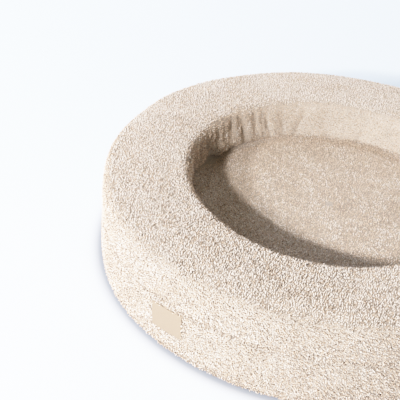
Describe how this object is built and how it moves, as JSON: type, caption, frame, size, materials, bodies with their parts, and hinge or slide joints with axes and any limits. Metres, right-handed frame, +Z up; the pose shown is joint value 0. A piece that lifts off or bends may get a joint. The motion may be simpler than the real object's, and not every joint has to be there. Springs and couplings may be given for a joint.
{
  "type": "dog bed",
  "caption": "Round low dog bed in curly pile cloth: a soft base cushion with a broad ring cushion sewn on top, which leaves a round sleeping well.",
  "frame": {"origin": "centre of the flat underside, on the surface that the bed stands on", "axes": "+Z up along the bed's axis; the woven label is in the middle of the -Y side"},
  "size_m": [0.6521, 0.6538, 0.1358],
  "materials": {
    "boucle_cloth": "short curly cream pile",
    "label_tape": "flat woven beige tape, bare"
  },
  "bodies": {
    "root": {"base_cushion": "boucle_cloth", "ring_bolster": "boucle_cloth", "woven_label": "label_tape"}
  },
  "joints": []
}
